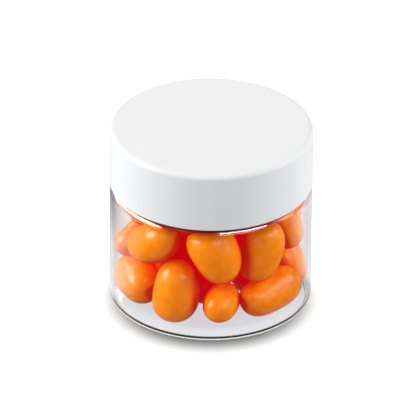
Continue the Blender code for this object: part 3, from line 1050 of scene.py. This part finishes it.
softbox("left_softbox", -88, 29, 0.70, (0.34, 0.42), 2.65)
softbox("right_softbox", 98, 38, 0.75, (0.30, 0.30), 1.20)
softbox("front_softbox", 46, 30, 0.75, (0.20, 0.20), 0.26)

# Two more light the mints alone, low from both sides, as they lie under the lid
mints_lit = bpy.data.collections.new("mints_lit")
mints_lit.objects.link(mints)
low_left = softbox("low_left_softbox", -72, 24, 0.70, (0.30, 0.30), 1.75)
low_right = softbox("low_right_softbox", 80, 18, 0.70, (0.30, 0.30), 1.05)
for low_light in (low_left, low_right):
    low_light.light_linking.receiver_collection = mints_lit

# Two long strips light the clear plastic alone, and draw the bright lines along its shoulder. What the mints
# mirror of them through the wall is weaker, by each strip's own share.
edge_lit = bpy.data.collections.new("edge_lit")
edge_lit.objects.link(jar)
cream_strip = softbox("cream_strip", -112, 32, 0.70, (1.60, 0.34), 36.0, "fff0d2")
white_strip = softbox("white_strip", 40, 42, 0.70, (0.60, 0.14), 12.0)
for edge_light, through_wall in ((cream_strip, 0.25), (white_strip, 0.08)):
    edge_light.light_linking.receiver_collection = edge_lit
    strip = edge_light.data
    strip.use_nodes = True
    crossed = add_node(strip, "ShaderNodeLightPath").outputs["Transmission Depth"]
    fall = add_node(
        strip, "ShaderNodeMapRange", Value=crossed, _1=JAR_DEPTH, _2=MINTS_DEPTH, _3=1.0, _4=through_wall
    )
    strip.node_tree.links.new(fall.outputs["Result"], strip.node_tree.nodes["Emission"].inputs["Strength"])

# The room: white walls at both sides, soft grey in front and behind, a dimmer ceiling, and dark below the
# horizon. Flags keep almost all of it out of reflections.
WALLS = 2.8
GREY = 0.46
HORIZON_FROM = -0.05
HORIZON_TO = 0.15
CEILING_FROM = 0.35
CEILING_TO = 0.90
CEILING = 0.52
FLAGGED = 0.04
world = bpy.data.worlds.new("studio")
world.use_nodes = True
world.node_tree.nodes.clear()
direction = add_node(world, "ShaderNodeTexCoord").outputs["Generated"]
way = add_node(world, "ShaderNodeSeparateXYZ", Vector=direction).outputs
depths = add_node(world, "ShaderNodeLightPath").outputs
above = add_node(world, "ShaderNodeMapRange", Value=way["Z"], _1=HORIZON_FROM, _2=HORIZON_TO)
sideways = add_node(world, "ShaderNodeMath", {"operation": "MULTIPLY"}, _0=way["X"], _1=way["X"])
walls = add_node(
    world, "ShaderNodeMath", {"operation": "MULTIPLY_ADD"}, _0=sideways.outputs["Value"], _1=WALLS, _2=GREY
)
ceiling = add_node(
    world, "ShaderNodeMapRange", Value=way["Z"], _1=CEILING_FROM, _2=CEILING_TO, _3=1.0, _4=CEILING
)
overhead = add_node(
    world,
    "ShaderNodeMath",
    {"operation": "MULTIPLY"},
    _0=above.outputs["Result"],
    _1=ceiling.outputs["Result"],
)
room = add_node(
    world,
    "ShaderNodeMath",
    {"operation": "MULTIPLY"},
    _0=overhead.outputs["Value"],
    _1=walls.outputs["Value"],
)
flags = add_node(world, "ShaderNodeMapRange", Value=depths["Glossy Depth"], _3=1.0, _4=FLAGGED)
flagged = add_node(
    world, "ShaderNodeMath", {"operation": "MULTIPLY"}, _0=room.outputs["Value"], _1=flags.outputs["Result"]
)
plain = add_node(world, "ShaderNodeBackground", Color=linear("ffffff"), Strength=flagged.outputs["Value"])
add_node(world, "ShaderNodeOutputWorld", Surface=plain.outputs["Background"])
bpy.context.scene.world = world

VIEW_HEIGHT = 30.2  # degrees above the horizon
VIEW_DISTANCE = 2.0
PIXELS_PER_METRE = 4057.0  # of the 420 pixel frame, at the aim
FRAME_PIXELS = 420
SENSOR = 36.0  # mm
ROLL = 0.52  # degrees
AIM_HEIGHT = 0.023
AIM_PIXEL = (210.77, 209.77)
camera_data = bpy.data.cameras.new("camera")
camera_data.sensor_width = SENSOR
camera_data.lens = SENSOR * PIXELS_PER_METRE * VIEW_DISTANCE / FRAME_PIXELS
camera_data.clip_start, camera_data.clip_end = 0.05, 20.0
camera = bpy.data.objects.new("camera", camera_data)
bpy.context.scene.collection.objects.link(camera)
rise = math.radians(VIEW_HEIGHT)
back = np.array((0.0, -math.cos(rise), math.sin(rise)))
across = np.array((1.0, 0.0, 0.0))
upward = np.array((0.0, math.sin(rise), math.cos(rise)))
target = np.array((0.0, 0.0, AIM_HEIGHT))
target -= across * (AIM_PIXEL[0] - FRAME_PIXELS / 2) / PIXELS_PER_METRE
target += upward * (AIM_PIXEL[1] - FRAME_PIXELS / 2) / PIXELS_PER_METRE
look_at(camera, target + back * VIEW_DISTANCE, target, math.radians(ROLL))
bpy.context.scene.camera = camera

# Enough bounces for light that crosses the clear plastic several times
settings = bpy.context.scene.cycles
settings.max_bounces = 24
settings.diffuse_bounces = 8
settings.glossy_bounces = 8
settings.transmission_bounces = 20
settings.transparent_max_bounces = 24
bpy.context.scene.view_settings.view_transform = "Standard"
